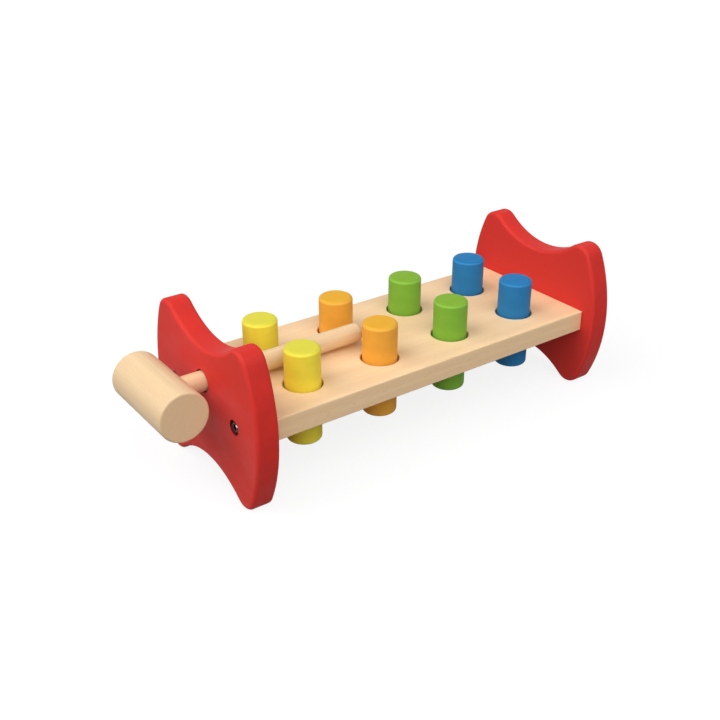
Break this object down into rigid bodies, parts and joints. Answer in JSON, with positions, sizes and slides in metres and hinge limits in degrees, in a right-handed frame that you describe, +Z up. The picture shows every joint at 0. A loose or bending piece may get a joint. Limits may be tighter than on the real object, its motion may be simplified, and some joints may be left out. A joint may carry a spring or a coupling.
{
  "type": "peg pounding bench",
  "caption": "Wooden pounding bench toy: coloured pegs pushed through a board between two shaped red end panels, with a mallet stored by its handle in one panel.",
  "frame": {"origin": "on the floor that the four feet stand on, at the middle of the whole length and width with the hammer in place", "axes": "+X along the bench from the hammer's end to the plain end, +Y from the front row of pegs to the back row, +Z up"},
  "size_m": [0.3638, 0.138, 0.115],
  "materials": {
    "beech": "sanded and clear-lacquered, satin",
    "hammer_beech": "sanded and clear-lacquered, satin",
    "red_paint": "satin paint over sanded wood",
    "yellow_paint": "satin paint over sanded wood",
    "orange_paint": "satin paint over sanded wood",
    "green_paint": "satin paint over sanded wood",
    "blue_paint": "satin paint over sanded wood",
    "black_rubber": "matt",
    "black_steel": "blackened, satin"
  },
  "bodies": {
    "bench": {"bench_board": "beech", "hammer_end_panel": "red_paint", "plain_end_panel": "red_paint", "hammer_end_screws": "black_steel", "plain_end_screws": "black_steel", "yellow_grip_ring_front": "black_rubber", "yellow_grip_ring_back": "black_rubber", "orange_grip_ring_front": "black_rubber", "orange_grip_ring_back": "black_rubber", "green_grip_ring_front": "black_rubber", "green_grip_ring_back": "black_rubber", "blue_grip_ring_front": "black_rubber", "blue_grip_ring_back": "black_rubber"},
    "hammer": {"hammer_head": "hammer_beech", "hammer_handle": "hammer_beech"},
    "yellow_peg_front": {"yellow_peg_front": "yellow_paint"},
    "yellow_peg_back": {"yellow_peg_back": "yellow_paint"},
    "orange_peg_front": {"orange_peg_front": "orange_paint"},
    "orange_peg_back": {"orange_peg_back": "orange_paint"},
    "green_peg_front": {"green_peg_front": "green_paint"},
    "green_peg_back": {"green_peg_back": "green_paint"},
    "blue_peg_front": {"blue_peg_front": "blue_paint"},
    "blue_peg_back": {"blue_peg_back": "blue_paint"}
  },
  "joints": [
    {"name": "hammer_pull", "type": "slide", "parent": "bench", "child": "hammer", "axis": [-1, 0, 0], "range_m": [-0.01325, 0.13125]},
    {"name": "yellow_peg_front_drive", "type": "slide", "parent": "bench", "child": "yellow_peg_front", "axis": [0, 0, 1], "range_m": [-0.0223, 0.02195]},
    {"name": "yellow_peg_back_drive", "type": "slide", "parent": "bench", "child": "yellow_peg_back", "axis": [0, 0, 1], "range_m": [-0.0223, 0.02195]},
    {"name": "orange_peg_front_drive", "type": "slide", "parent": "bench", "child": "orange_peg_front", "axis": [0, 0, 1], "range_m": [-0.0223, 0.02195]},
    {"name": "orange_peg_back_drive", "type": "slide", "parent": "bench", "child": "orange_peg_back", "axis": [0, 0, 1], "range_m": [-0.0223, 0.02195]},
    {"name": "green_peg_front_drive", "type": "slide", "parent": "bench", "child": "green_peg_front", "axis": [0, 0, 1], "range_m": [-0.0223, 0.02195]},
    {"name": "green_peg_back_drive", "type": "slide", "parent": "bench", "child": "green_peg_back", "axis": [0, 0, 1], "range_m": [-0.0223, 0.02195]},
    {"name": "blue_peg_front_drive", "type": "slide", "parent": "bench", "child": "blue_peg_front", "axis": [0, 0, 1], "range_m": [-0.0223, 0.02195]},
    {"name": "blue_peg_back_drive", "type": "slide", "parent": "bench", "child": "blue_peg_back", "axis": [0, 0, 1], "range_m": [-0.0223, 0.02195]}
  ]
}
